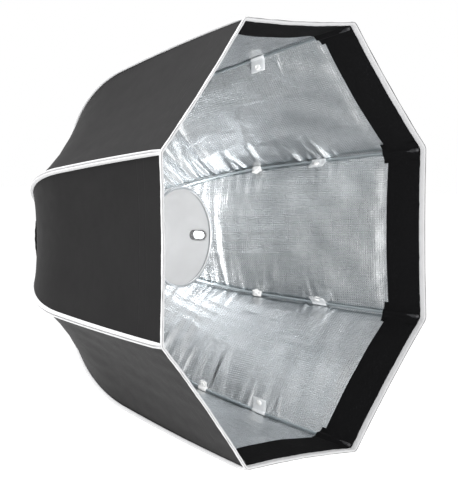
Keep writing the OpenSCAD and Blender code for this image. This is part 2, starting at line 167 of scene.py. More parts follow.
def beside(s, offset):
    """Radius and height of the place beside the rib's centre line, at this offset outwards."""
    s = np.asarray(s, float)
    a = path_angle(s)
    out = outward(a)
    way = along(a)
    before = tip[:, None] + np.clip(-s.ravel(), 0, None) * along(TIP_ANGLE)[:, None]
    front = front_centre[:, None] + FRONT_BOW_R * out.reshape(2, -1)
    rear = rear_centre[:, None] + rear_bow_r * out.reshape(2, -1)
    root = root_start[:, None] - (s.ravel() - BOW_LEN) * way.reshape(2, -1)
    flat = s.ravel()
    behind = np.where(flat < BOW_LEN, rear, root)
    place = np.where(flat < 0, before, np.where(flat < FRONT_LEN, front, behind))
    return place.reshape((2,) + s.shape) + offset * out


def mouth_s(offset):
    """Where a layer at this offset reaches the mouth."""
    return -(MOUTH - tip[1] + offset * math.sin(TIP_ANGLE)) / math.cos(TIP_ANGLE)


BAND_END = mouth_s(BAND_AT) + BAND_W


def axes_at(theta):
    """Radial, tangential and forward directions in the plane of a rib or a gore."""
    radial = np.array([math.cos(theta), 0, math.sin(theta)])
    tangential = np.array([-math.sin(theta), 0, math.cos(theta)])
    return radial, tangential, FORWARD


def rib_theta(k):
    return HALF * (2 * k - 1)


def smooth(x):
    x = np.clip(x, 0, 1)
    return x * x * (3 - 2 * x)


# ---------------------------------------------------------------- meshes
def new_object(name, mesh):
    piece = bpy.data.objects.new(name, mesh)
    bpy.context.scene.collection.objects.link(piece)
    return piece


def grid_piece(name, points, uv=None, normals=None, ring=False, flip=False, caps=False):
    """A mesh piece from a grid of points, rows by columns.

    ring joins the last column to the first, caps closes the first and last rows, and flip turns the
    faces over.
    """
    rows, cols = points.shape[:2]
    number = np.arange(rows * cols).reshape(rows, cols)
    right = np.roll(number, -1, axis=1) if ring else number[:, 1:]
    left = number if ring else number[:, :-1]
    quads = np.stack([left[:-1], right[:-1], right[1:], left[1:]], axis=-1).reshape(-1, 4)
    if flip:
        quads = quads[:, ::-1]
    faces = quads.tolist()
    if caps:
        first, last = number[0].tolist(), number[-1].tolist()
        faces += [first if flip else first[::-1], last[::-1] if flip else last]
    mesh = bpy.data.meshes.new(name)
    mesh.from_pydata(points.reshape(-1, 3).tolist(), [], faces)
    mesh.shade_smooth()
    if uv is not None:
        corners = np.zeros(len(mesh.loops), np.int64)
        mesh.loops.foreach_get("vertex_index", corners)
        layer = mesh.uv_layers.new(name="cloth")
        layer.data.foreach_set("uv", uv.reshape(-1, 2)[corners].astype(np.float32).ravel())
    if normals is not None:
        mesh.normals_split_custom_set_from_vertices(normals.reshape(-1, 3).tolist())
    mesh.validate()
    return new_object(name, mesh)


def grid_normals(points):
    """Unit normals of a grid of points, along the rows' direction crossed with the columns'."""
    by_row = np.gradient(points, axis=0)
    by_col = np.gradient(points, axis=1)
    n = np.cross(by_row, by_col)
    return n / np.maximum(np.linalg.norm(n, axis=-1, keepdims=True), 1e-12)


def finish_piece(piece, material):
    piece.data.materials.append(material)


def cut_size(points):
    """Widest row, longest column and area of a grid of points laid flat."""
    across = np.linalg.norm(np.diff(points, axis=1), axis=-1).sum(axis=1)
    down = np.linalg.norm(np.diff(points, axis=0), axis=-1).sum(axis=0)
    a = points[1:, 1:] - points[:-1, :-1]
    b = points[1:, :-1] - points[:-1, 1:]
    area = np.linalg.norm(np.cross(a, b), axis=-1).sum() / 2
    return float(across.max()), float(down.max()), float(area)


# ---------------------------------------------------------------- shader maths
# A mix node's places for its factor and its two colours, and for the colour that it gives
MIX_INPUTS = (0, 6, 7)
MIX_OUTPUT = 2


class Value:
    """A shader socket that adds Math nodes when it is used in an expression."""

    def __init__(self, finish, socket):
        self.finish = finish
        self.socket = socket

    def math(self, operation, *others):
        sockets = dict(enumerate((self,) + others))
        return self.finish.add("ShaderNodeMath", {"operation": operation}, sockets)

    def __add__(self, other):
        return self.math("ADD", other)

    __radd__ = __add__

    def __mul__(self, other):
        return self.math("MULTIPLY", other)

    __rmul__ = __mul__

    def __sub__(self, other):
        return self.math("SUBTRACT", other)

    def __rsub__(self, other):
        return (self * -1) + other

    def __truediv__(self, other):
        return self.math("DIVIDE", other)

    def sin(self):
        return self.math("SINE")

    def abs(self):
        return self.math("ABSOLUTE")

    def fract(self):
        return self.math("FRACT")

    def step(self, low, high):
        """0 below low, 1 above high, smooth between."""
        sockets = {"Value": self, "From Min": low, "From Max": high}
        return self.finish.add("ShaderNodeMapRange", {"interpolation_type": "SMOOTHSTEP"}, sockets)


class Finish:
    """One material: its shader's constants, and the nodes that vary over the surface."""

    def __init__(self, name, **constants):
        self.material = bpy.data.materials.new(name)
        self.material.use_nodes = True
        self.tree = self.material.node_tree
        self.shader = self.tree.nodes["Principled BSDF"]
        self.set(**constants)

    def set(self, **sockets):
        """Sets or links the shader's own sockets: base_color is Base Color, and so on."""
        for name, value in sockets.items():
            socket = self.shader.inputs[name.replace("_", " ").title().replace("Ior", "IOR")]
            self.put(socket, value)
        return self

    def put(self, socket, value):
        if isinstance(value, Value):
            self.tree.links.new(value.socket, socket)
        elif hasattr(value, "__len__") and len(value) == 3 and socket.type == "RGBA":
            socket.default_value = (*value, 1.0)
        else:
            socket.default_value = value

    def add(self, kind, settings=None, sockets=None, out=0):
        """A node of this kind, with its settings set first and then its sockets filled or linked."""
        node = self.tree.nodes.new(kind)
        for name, value in (settings or {}).items():
            setattr(node, name, value)
        for name, value in (sockets or {}).items():
            self.put(node.inputs[name], value)
        return Value(self, node.outputs[out])

    def place(self):
        """The point on the surface, in metres, in the object's own frame."""
        return self.add("ShaderNodeTexCoord", out="Object")

    def split(self, vector):
        """The three numbers in a vector."""
        first = self.add("ShaderNodeSeparateXYZ", sockets={"Vector": vector})
        return [Value(self, output) for output in first.socket.node.outputs]

    def cloth_uv(self):
        """The place on the cloth, then its distance across and along, in metres."""
        uv = self.add("ShaderNodeUVMap", {"uv_map": "cloth"})
        across, along, _ = self.split(uv)
        return uv, across, along

    def noise(self, vector, scale, detail=2.0, stretch=None):
        if stretch is not None:
            vector = self.add("ShaderNodeMapping", sockets={"Vector": vector, "Scale": stretch})
        sockets = {"Vector": vector, "Scale": scale, "Detail": detail, "Roughness": 0.55}
        return self.add("ShaderNodeTexNoise", sockets=sockets)

    def mix(self, factor, first, second):
        """The first colour where factor is 0, the second where it is 1."""
        node = self.tree.nodes.new("ShaderNodeMix")
        node.data_type = "RGBA"
        for index, value in zip(MIX_INPUTS, (factor, first, second)):
            self.put(node.inputs[index], value)
        return Value(self, node.outputs[MIX_OUTPUT])

    def bump(self, *layers):
        """Layers of (height, depth in metres, strength), one over the other."""
        normal = None
        for height, depth, strength in layers:
            sockets = {"Height": height, "Distance": depth, "Strength": strength}
            if normal is not None:
                sockets["Normal"] = normal
            normal = self.add("ShaderNodeBump", sockets=sockets)
        return self.set(normal=normal)


def threads(value, pitch):
    """0 to 1 and back, once every pitch."""
    return (value * (2 * math.pi / pitch)).sin() * 0.5 + 0.5


def line_at(value, place, width):
    """1 on a line at this place, 0 away from it."""
    return 1 - (value - place).abs().step(0, width)


# ---------------------------------------------------------------- finishes
def black_nylon():
    f = Finish("black coated nylon", roughness=0.6, specular_ior_level=0.11)
    uv, u, v = f.cloth_uv()
    shade = f.noise(uv, 14, 3)
    f.set(base_color=f.mix(shade, (0.0042, 0.0040, 0.0043), (0.0080, 0.0077, 0.0079)))
    f.set(roughness=0.56 + 0.14 * f.noise(uv, 60, 3))
    weave = threads(u, NYLON_THREAD) * 0.5 + threads(v, NYLON_THREAD) * 0.5
    rip = line_at((u / RIPSTOP).fract(), 0.5, 0.10) + line_at((v / RIPSTOP).fract(), 0.5, 0.10)
    stitched = line_at(v, BAND_W, 1.1 * MM) + line_at(v, REAR_STITCH, 0.9 * MM)
    soft = f.noise(uv, 22, 2)
    f.bump((weave + 0.5 * rip, 0.06 * MM, 0.55), (1 - stitched, 0.35 * MM, 0.7), (soft, 0.8 * MM, 0.4))
    return f.material


def silver_cloth():
    """Metal-coated cloth: a fine grid of threads, crumpled all over, with duller and brighter patches."""
    f = Finish("silver lining", metallic=1.0, roughness=0.2)
    uv, u, v = f.cloth_uv()
    across = line_at((u / SILVER_GRID).fract(), 0.5, 0.30)
    along = line_at((v / SILVER_GRID).fract(), 0.5, 0.30)
    grid = across.math("MAXIMUM", along)
    cloud = f.noise(uv, 26, 3)
    grey = f.mix(cloud, (0.60, 0.62, 0.635), (0.80, 0.815, 0.825))
    patch = f.noise(uv, 12, 2).step(0.35, 0.65)
    f.set(base_color=f.mix(grid * (0.30 + 0.50 * patch), grey, (0.34, 0.355, 0.37)))
    f.set(roughness=0.17 + 0.14 * f.noise(uv, 90, 3) + 0.08 * grid)
    fine = f.noise(uv, 420, 2)
    crumple = f.noise(uv, 75, 3, stretch=(1.0, 0.45, 1.0))
    streaks = f.noise(uv, 170, 3, stretch=(0.10, 1.0, 1.0))
    f.bump((grid, 0.10 * MM, 0.6), (fine, 0.16 * MM, 0.5), (streaks, 0.45 * MM, 0.6),
           (crumple, 1.2 * MM, 0.8))
    return f.material


def loop_tape():
    f = Finish("black loop tape", roughness=0.96, specular_ior_level=0.08)
    uv = f.cloth_uv()[0]
    nap = f.noise(uv, 260, 4)
    brushed = f.noise(uv, 120, 3, stretch=(0.5, 2.0, 1.0))
    f.set(base_color=f.mix(nap, (0.0020, 0.0020, 0.0023), (0.0060, 0.0060, 0.0064)))
    f.bump((nap, 0.7 * MM, 0.8), (brushed, 0.5 * MM, 0.4))
    return f.material


def grey_tape():
    f = Finish("grey woven tape", roughness=0.68, specular_ior_level=0.35, sheen_weight=0.2,
               sheen_roughness=0.45)
    uv, u, v = f.cloth_uv()
    cloud = f.noise(uv, 45, 3)
    f.set(base_color=f.mix(cloud, (0.40, 0.40, 0.405), (0.48, 0.48, 0.485)))
    weave = threads(u, 0.8 * MM) * threads(v, 0.8 * MM)
    stitch = line_at(u, 0.0, 0.35 * MM) * (0.4 + 0.6 * threads(v, 3.2 * MM))
    f.bump((weave, 0.09 * MM, 0.6), (1 - stitch, 0.25 * MM, 0.6))
    return f.material


def metal(name, color, roughness, grain=(1, 1, 1), scale=400, depth=0.02, spread=0.1, share=1.0):
    """A metal with a fine grain, which runs along the axis where grain is small."""
    f = Finish(name, metallic=share, base_color=color, roughness=roughness)
    place = f.place()
    lines = f.noise(place, scale, 3, stretch=grain)
    cloud = f.noise(place, 30, 3)
    dark = tuple(c * 0.86 for c in color)
    f.set(base_color=f.mix(cloud, dark, color))
    f.set(roughness=roughness - spread / 2 + spread * lines)
    f.bump((lines, depth * MM, 0.5))
    return f.material


def moulded(name, color, roughness, grain=900, depth=0.03):
    """Moulded plastic or paint, with a fine texture."""
    f = Finish(name, base_color=color, roughness=roughness, specular_ior_level=0.45)
    place = f.place()
    skin = f.noise(place, grain, 2)
    cloud = f.noise(place, 40, 3)
    dark = tuple(c * 0.82 for c in color)
    f.set(base_color=f.mix(cloud, dark, color))
    f.set(roughness=roughness - 0.06 + 0.12 * cloud)
    f.bump((skin, depth * MM, 0.5))
    return f.material


def tab_webbing():
    f = Finish("silver webbing", metallic=0.25, roughness=0.4, specular_ior_level=0.5)
    place = f.place()
    ribs = threads(f.split(place)[2], 1.6 * MM)
    cloud = f.noise(place, 160, 2)
    f.set(base_color=f.mix(cloud, (0.70, 0.72, 0.73), (0.86, 0.87, 0.88)))
    f.bump((ribs, 0.15 * MM, 0.6))
    return f.material


BLACK_NYLON = black_nylon()
SILVER_CLOTH = silver_cloth()
LOOP_TAPE = loop_tape()
GREY_TAPE = grey_tape()
TAB_WEBBING = tab_webbing()
ROD_STEEL = metal("drawn rod steel", (0.52, 0.57, 0.59), 0.30, grain=(1, 0.06, 1), scale=900)
BOWL_METAL = metal("matt spun aluminium", (0.92, 0.925, 0.93), 0.34, grain=(0.1, 2.5, 0.1), scale=500,
                   spread=0.05, share=0.5)
# The rolled rim is the bowl's own aluminium made darker: painted shade for the dark line along the bowl's edge.
SHADED_RIM_METAL = metal("rolled rim aluminium with painted shade", (0.55, 0.57, 0.59), 0.33, scale=600)
WHITE_PLASTIC = moulded("white moulded plastic", (0.92, 0.92, 0.91), 0.42)
BLACK_PLASTIC = moulded("black moulded plastic", (0.020, 0.020, 0.022), 0.46)
LINER_PLASTIC = moulded("grey slot liner", (0.20, 0.20, 0.20), 0.40)


# ---------------------------------------------------------------- gores
def sag(s, offset):
    """How far the cloth hangs in, midway between two ribs."""
    start = mouth_s(offset)
    u = np.clip((s - start) / (CLOTH_END - start), 0, 1)
    return SAG_MOUTH + SAG_MID * np.sin(math.pi * u)


def gore_points(n, s, q, offset, inward, corner_round):
    """Points of gore n, moved inwards by inward, with its corners over the ribs rounded to a radius.

    s runs along its ribs and q from -1 at rib n to 1 at rib n + 1.
    """
    a = path_angle(s)
    r, z = beside(s, offset)
    side = r * math.sin(HALF) * q
    flat = r * math.cos(HALF) - sag(s, offset) * (1 - q * q)
    reach = corner_round * math.tan(HALF)
    left = np.clip(reach - r * math.sin(HALF) * (1 - abs(q)), 0, None)
    flat = flat - left**2 / (2 * corner_round)
    radial, tangential, forward = axes_at(2 * HALF * n)
    m = flat - inward * np.cos(a)
    h = z + inward * np.sin(a)
    return m[..., None] * radial + side[..., None] * tangential + h[..., None] * forward


def across_steps(count, tight=1.0):
    """Places from the middle of a gore to its seam; tight above 1 sets them closer at the seam."""
    x = np.linspace(0, 1, count + 1)
    half = 1 - (1 - x) ** tight
    return np.concatenate([-half[::-1], half[1:]])


def seam_round(s):
    """Radius of the gore's corner over its rib: wide at the mouth, narrow behind it."""
    return 0.003 + 0.010 * (1 - smooth((s - mouth_s(CLOTH_AT)) / 0.05))


def gore_uv(s, q, offset):
    r, z = beside(s, offset)
    return np.stack([r * math.sin(HALF) * q, s - mouth_s(offset)], axis=-1)


def split_gore(n, kind, points, uv, material, inside=False):
    """The two half gores of gore n, one on the side of each of its ribs."""
    middle = points.shape[1] // 2
    normals = grid_normals(points) * (-1 if inside else 1)
    halves = []
    first = (n, "left", 1, slice(None, middle + 1))
    second = (n % RIBS + 1, "right", -1, slice(middle, None))
    for k, side, sign, cols in (first, second):
        name = f"{kind}_{k}_{side}"
        piece = grid_piece(name, points[:, cols], uv[:, cols], normals[:, cols], flip=not inside)
        finish_piece(piece, material)
        lean = axes_at(rib_theta(k))[1] * sign + PLEAT_LEAN * FORWARD
        start = lean * (PLEAT_START + PLEAT_LEAN * MOUTH) / (lean @ lean)
        end = start + lean * PLEAT_LENGTH / (lean @ lean)
        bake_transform(piece)
        width, length, area = cut_size(points[:, cols])
        halves.append(piece)
    return halves


def outer_cloth(n):
    front = np.linspace(mouth_s(CLOTH_AT), FRONT_LEN, CLOTH_ROWS)
    rear = np.linspace(FRONT_LEN, CLOTH_END, CLOTH_ROWS)[1:]
    s, q = np.meshgrid(np.concatenate([front, rear]), across_steps(CLOTH_COLS, 1.5), indexing="ij")
    draw = np.random.default_rng(CLOTH_SEED + n)
    r = beside(s, CLOTH_AT)[0]
    inward = np.zeros_like(s)
    for i in range(5):
        wave = 2 * math.pi / draw.uniform(0.06, 0.16)
        turn = draw.uniform(0, math.pi)
        run = s * math.cos(turn) + r * q * math.sin(turn)
        inward += 0.10 * MM * np.sin(wave * run + draw.uniform(0, 6))
    away = r * math.sin(HALF) * (1 - abs(q))
    pucker = np.sin(2 * math.pi * s / PUCKER_PITCH + draw.uniform(0, 6)) * np.exp(-away / 0.012)
    pucker = pucker * smooth(away / 0.004)
    inward = inward * smooth(away / 0.02) + 0.07 * MM * pucker
    points = gore_points(n, s, q, CLOTH_AT, inward, seam_round(s))
    return split_gore(n, "outer_cloth", points, gore_uv(s, q, CLOTH_AT), BLACK_NYLON)


def crease(x, width):
    return np.exp(-np.abs(x / width) ** 1.6)


# How strongly the lining gathers along its seams, at the first and the second rib of each gore
GATHERS = {1: (2.0, 0.5), 2: (0.4, 0.4), 6: (0.5, 0.5), 7: (1.3, 0.9), 8: (0.55, 0.35)}


def lining_folds(n, s, q):
    """How far the lining stands off the cloth: seam creases, tab puckers, long wrinkles and soft waves."""
    draw = np.random.default_rng(LINING_SEED + n)
    r = beside(s, LINING_AT)[0]
    half_width = r * math.sin(HALF)
    total = np.zeros_like(s)
    for edge, gather in zip((-1, 1), GATHERS.get(n, (1.0, 1.0))):
        away = half_width * (1 - edge * q)
        rise = smooth(away / 0.007) * gather
        place = GATHER_FROM
        while place < CLOTH_END - 0.01:
            rear = smooth((place - 0.15) / 0.12)
            width = draw.uniform(0.0022, 0.0045)
            reach = draw.uniform(0.018, 0.04) + rear * draw.uniform(0.0, 0.07)
            height = draw.uniform(0.5, 1.4) * MM * (0.5 + 0.9 * rear)
            lean = draw.uniform(-0.22, 0.22)
            fade = np.exp(-((away / reach) ** 1.5))
            total += height * crease(s - place - lean * away, width + 0.03 * away) * fade * rise
            place += draw.uniform(0.005, 0.010)
        for i in range(7):
            place = TAB_PUCKERS + draw.uniform(-0.03, 0.03)
            lean = draw.uniform(-0.35, 0.35)
            reach = draw.uniform(0.022, 0.04)
            height = draw.uniform(0.9, 2.0) * MM
            fade = np.exp(-((away / reach) ** 2.5))
            total += height * crease(s - place - lean * away, 0.0028) * fade * rise
    for i in range(5):
        middle = draw.uniform(-0.5, 0.5)
        lean = draw.uniform(-0.12, 0.12)
        width = draw.uniform(0.003, 0.006)
        ends = smooth((s - draw.uniform(0.04, 0.12)) / 0.05) * smooth((draw.uniform(0.3, 0.42) - s) / 0.08)
        off_line = half_width * (q - middle) - lean * (s - 0.2)
        total += draw.uniform(0.3, 0.8) * MM * crease(off_line, width) * ends
    for i in range(6):
        wave = 2 * math.pi / draw.uniform(0.035, 0.11)
        turn = draw.uniform(0, math.pi)
        waves = np.sin(wave * (s * math.cos(turn) + half_width * q * math.sin(turn)) + draw.uniform(0, 6))
        total += 0.25 * MM * (1 + waves) * smooth((1 - abs(q)) * half_width / 0.03)
    behind_band = smooth((s - BAND_END) / 0.02)
    return total * (0.12 + 0.88 * behind_band)


def lining(n):
    rows = int((CLOTH_END - mouth_s(LINING_AT)) / LINING_ROW)
    s = np.linspace(mouth_s(LINING_AT), CLOTH_END, rows)
    s, q = np.meshgrid(s, across_steps(LINING_COLS, 1.15), indexing="ij")
    points = gore_points(n, s, q, LINING_AT, lining_folds(n, s, q), seam_round(s))
    uv = gore_uv(s, q, LINING_AT)
    split_gore(n, "lining", points, uv, SILVER_CLOTH, inside=True)


def band(n):
    """Loop tape inside the mouth, a little fuller along its rear edge."""
    s = np.linspace(mouth_s(BAND_AT) + 0.002, BAND_END, 22)
    s, q = np.meshgrid(s, across_steps(CLOTH_COLS, 1.4), indexing="ij")
    draw = np.random.default_rng(BAND_SEED + n)
    lip = np.exp(-((BAND_END - s) / 0.0025) ** 2)
    loose = smooth((s - s.min() - 0.010) / 0.02)
    wander = 0.5 * MM + 0.3 * MM * np.sin(q * 9 + draw.uniform(0, 6)) * smooth((1 - abs(q)) / 0.2)
    inward = (wander + 0.35 * MM * (1 - lip)) * loose
    points = gore_points(n, s, q, BAND_AT, inward, seam_round(s) * 0.8)
    turned_back = np.full_like(q[-1:], -0.9 * MM)
    edge = gore_points(n, s[-1:], q[-1:], BAND_AT, turned_back, seam_round(s[-1:]) * 0.8)
    uv = gore_uv(s, q, BAND_AT)
    points = np.concatenate([points, edge])
    uv = np.concatenate([uv, uv[-1:] + np.array([0, 0.0015])])
    split_gore(n, "loop_band", points, uv, LOOP_TAPE, inside=True)


def binding(n):
    """Tape folded round the mouth's edge: outer leg, round nose and inner leg."""
    middle = (BINDING_OUT + BINDING_IN) / 2
    nose = (BINDING_OUT - BINDING_IN) / 2
    nose_depth = nose * 0.8
    start = mouth_s(middle) + nose_depth
    leg_steps, nose_steps = 6, 8

    def curl(u):
        """1 at a leg's free edge, where u is 1, and 0 away from it."""
        return math.exp(-(((u - 1) / 0.12) ** 2))

    legs = []
    for i in range(leg_steps):
        u = 1 - i / leg_steps
        legs.append((start + BINDING_BACK * u, BINDING_OUT - 0.5 * MM * curl(u)))
    for i in range(nose_steps + 1):
        turn = math.pi * i / nose_steps
        legs.append((start - nose_depth * math.sin(turn), middle + nose * math.cos(turn)))
    for i in range(1, leg_steps + 1):
        u = i / leg_steps
        legs.append((start + (BINDING_W - nose_depth) * u, BINDING_IN + 0.6 * MM * curl(u)))
    q = across_steps(CLOTH_COLS, 1.6)
    draw = np.random.default_rng(BINDING_SEED + n)
    pucker = 0.14 * MM * np.sin(q * 40 + draw.uniform(0, 6)) + 0.2 * MM * np.sin(q * 11 + draw.uniform(0, 6))
    pucker = pucker * smooth((1 - abs(q)) / 0.1)
    rows = []
    lengths = [0.0]
    for i, (place, offset) in enumerate(legs):
        s = np.full_like(q, place)
        rows.append(gore_points(n, s, q, offset, pucker, np.full_like(q, 0.012)))
        if i:
            lengths.append(lengths[-1] + math.hypot(place - legs[i - 1][0], offset - legs[i - 1][1]))
    points = np.stack(rows)
    run = np.array(lengths) - lengths[-1] / 2
    r = beside(np.array(0.0), 0.0)[0]
    uv = np.stack(np.meshgrid(run, r * math.sin(HALF) * q, indexing="ij"), axis=-1)
    split_gore(n, "mouth_binding", points, uv, GREY_TAPE, inside=True)


# ---------------------------------------------------------------- what runs along a rib
def rib_sweep(k, name, stations, section, across, material, grow=None, flip=False):
    """A closed section (outwards, tangential) swept along rib k's path.

    across is each section point's distance across the cloth, and grow scales the height at each station.
    """
    radial, tangential, forward = axes_at(rib_theta(k))
    rows = []
    for i, s in enumerate(stations):
        a = float(path_angle(s))
        r, z = beside(s, 0.0)
        scale = 1.0 if grow is None else grow[i]
        base = section[:, 0].min()
        x = base + (section[:, 0] - base) * scale
        y = section[:, 1]
        out = (r + x * math.cos(a))[:, None] * radial
        rows.append(out + y[:, None] * tangential + (z - x * math.sin(a))[:, None] * forward)
    v, u = np.meshgrid(stations, across, indexing="ij")
    piece = grid_piece(name, np.stack(rows), np.stack([u, v], axis=-1), ring=True, caps=True, flip=flip)
    finish_piece(piece, material)
    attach(piece, f"rib_{k}")
    return piece


def rod(k):
    turns = np.linspace(0, 2 * math.pi, 16, endpoint=False)
    section = ROD_R * np.stack([np.cos(turns), np.sin(turns)], axis=1)
    around = np.concatenate([[0], np.cumsum(np.linalg.norm(np.diff(section, axis=0), axis=1))])
    stations = np.linspace(0.0005, BOW_LEN + 0.016, 90)
    piece = rib_sweep(k, f"rib_rod_{k}", stations, section, around, ROD_STEEL)
    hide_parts(f"rod_{k}")


def piping(k):
    """Folded tape sewn over the outer seam: two soft ridges with a groove between them."""
    y = np.linspace(-4.1 * MM, 4.1 * MM, 25)
    ridge = 2.0 * MM
    hump = np.sqrt(np.clip(1 - ((abs(y) - ridge) / (2.15 * MM)) ** 2, 0, 1))
    groove = np.where(abs(y) < ridge, 0.86 + 0.14 * abs(y) / ridge, 1)
    top = CLOTH_AT - 1.6 * MM + 5.0 * MM * hump * groove
    under = np.full_like(y[1:-1], CLOTH_AT - 1.8 * MM)
    section = np.concatenate([np.stack([top, y], 1), np.stack([under, y[1:-1]], 1)[::-1]])
    start = mouth_s(BINDING_OUT) + BINDING_BACK + 0.002
    risen = start + 0.02
    stations = np.concatenate([np.linspace(start, risen, 8), np.linspace(risen, CLOTH_END, 90)[1:]])
    grow = 0.55 + 0.45 * smooth((stations - start) / 0.016)
    name = f"seam_piping_{k}"
    piece = rib_sweep(k, name, stations, section, section[:, 1], GREY_TAPE, grow, flip=True)
    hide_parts(f"piping_{k}")


def rib_place(k, s):
    """The frame at a place on rib k: x outwards, y tangential, z along the rib towards its tip."""
    radial, tangential, forward = axes_at(rib_theta(k))
    a = float(path_angle(s))
    r, z = beside(s, 0.0)
    x = math.cos(a) * radial - math.sin(a) * forward
    way = math.sin(a) * radial + math.cos(a) * forward
    origin = float(r) * radial + float(z) * forward
    return Matrix([[x[i], tangential[i], way[i], origin[i]] for i in range(3)] + [[0, 0, 0, 1]])


def place_on_rib(name, k, s, points, material, flip=False):
    """A closed ring of points made in the rib's frame at s, moved to its place on rib k."""
    matrix = np.array(rib_place(k, s))
    moved = points @ matrix[:3, :3].T + matrix[:3, 3]
    piece = grid_piece(name, moved, ring=True, caps=True, flip=flip)
    finish_piece(piece, material)
    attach(piece, f"rib_{k}")
    return piece


def lathe(profile, sides=32):
    """Rings of points round z from (radius, z) pairs."""
    turns = np.linspace(0, 2 * math.pi, sides, endpoint=False)
    profile = np.array(profile, float)
    r, z = profile[:, 0, None], profile[:, 1, None]
    return np.stack([r * np.cos(turns), r * np.sin(turns), z + 0 * turns], axis=-1)


def tip_cap(k):
    rows = [(CAP_R * 0.80, -15 * MM), (CAP_R * 0.97, -14.6 * MM), (CAP_R, -14 * MM)]
    rows += [(CAP_R, -2 * MM), (CAP_R * 1.06, -1.2 * MM), (CAP_R * 1.06, 0)]
    rows += [(CAP_R * math.cos(t), 0.5 * MM + CAP_R * 0.9 * math.sin(t)) for t in np.linspace(0, 1.4, 6)]
    piece = place_on_rib(f"tip_cap_{k}", k, 0.0, lathe(rows, 28), BLACK_PLASTIC)
    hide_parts(f"fittings_{k}")


def pocket(k):
    """Black tape sleeve over the rod's end, sewn to the loop band on both sides."""
    start = mouth_s(BAND_AT) + 0.010
    half, thick = 14 * MM, 0.9 * MM
    s, y = np.meshgrid(np.linspace(start, BAND_END + 0.008, 22), np.linspace(-half, half, 41), indexing="ij")
    depth = smooth((s - start) / 0.012)
    edges = 0.5 * MM * np.exp(-(((half - abs(y)) / (1.0 * MM)) ** 2))
    swell = (5.0 * MM * depth + 0.4 * MM) * np.exp(-((y / (4.4 * MM)) ** 2))
    x = BAND_AT - 1.3 * MM - abs(y) * math.tan(HALF) - edges - swell
    radial, tangential, forward = axes_at(rib_theta(k))
    a = path_angle(s)
    r, z = beside(s, 0.0)

    def layer(x):
        out = (r + x * np.cos(a))[..., None] * radial + (z - x * np.sin(a))[..., None] * forward
        return out + y[..., None] * tangential

    shell = np.concatenate([layer(x), layer(x + thick)[::-1], layer(x)[:1]], axis=0)
    uv = np.stack([y, s - start], axis=-1)
    piece = grid_piece(f"rod_pocket_{k}", shell, np.concatenate([uv, uv[::-1], uv[:1]], axis=0))
    finish_piece(piece, LOOP_TAPE)
    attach(piece, f"rib_{k}")


def rounded_slab(width, length, thickness, around=8, edge=0.35):
    """A slab in the x-z plane with rounded corners and soft edges, as rings of one outline."""
    radius = min(width, length) * 0.22
    outline = []
    for cx, cz, first in ((1, 1, 0), (-1, 1, 90), (-1, -1, 180), (1, -1, 270)):
        for i in range(around):
            t = math.radians(first + 90 * i / (around - 1))
            x = cx * (width / 2 - radius) + radius * math.cos(t)
            z = cz * (length / 2 - radius) + radius * math.sin(t)
            outline.append((x, z))
    outline = np.array(outline)
    soft = min(thickness * edge, radius * 0.5)
    rows = []
    for t in np.linspace(-math.pi / 2, math.pi / 2, 9):
        shrink = 1 - soft * (1 - math.cos(t)) / (min(width, length) / 2)
        lift = math.sin(t)
        y = 0.0
        if abs(lift) > 1e-6:
            y = (thickness / 2 - soft) * np.sign(lift) + soft * lift
        x, z = outline[:, 0] * shrink, outline[:, 1] * shrink
        rows.append(np.stack([x, np.full(len(outline), y), z], axis=1))
    return np.stack(rows)


def clip(k):
    """White clip that grips the rod, with a leg and a round boss that hold the lining."""
    grip = [(2.1, -6.5), (3.3, -6.4), (4.1, -5.6), (4.3, -3), (4.3, 3), (4.1, 5.6), (3.3, 6.4), (2.1, 6.5)]
    body = lathe(np.array(grip) * MM, 28)
    body[..., 0] -= 0.9 * MM
    place_on_rib(f"rod_clip_{k}", k, CLIP_PLACE, body, WHITE_PLASTIC)
    leg = rounded_slab(11 * MM, 11.5 * MM, 3.2 * MM)
    leg[..., 0] -= 7.5 * MM
    place_on_rib(f"clip_leg_{k}", k, CLIP_PLACE, leg, WHITE_PLASTIC, flip=True)
    dome = [(0.4, 2.5), (1.6, 2.6), (2.0, 3.2), (2.9, 3.4), (3.4, 2.9), (3.6, 1.0)]
    boss = lathe(np.array(dome) * MM, 28)[..., SIDEWAYS]
    boss[..., 0] -= 8.5 * MM
    for letter, sign in (("a", -1), ("b", 1)):
        turned = boss * np.array([1, sign, 1])
        name = f"clip_boss_{k}_{letter}"
        place_on_rib(name, k, CLIP_PLACE, turned, WHITE_PLASTIC, flip=sign < 0)


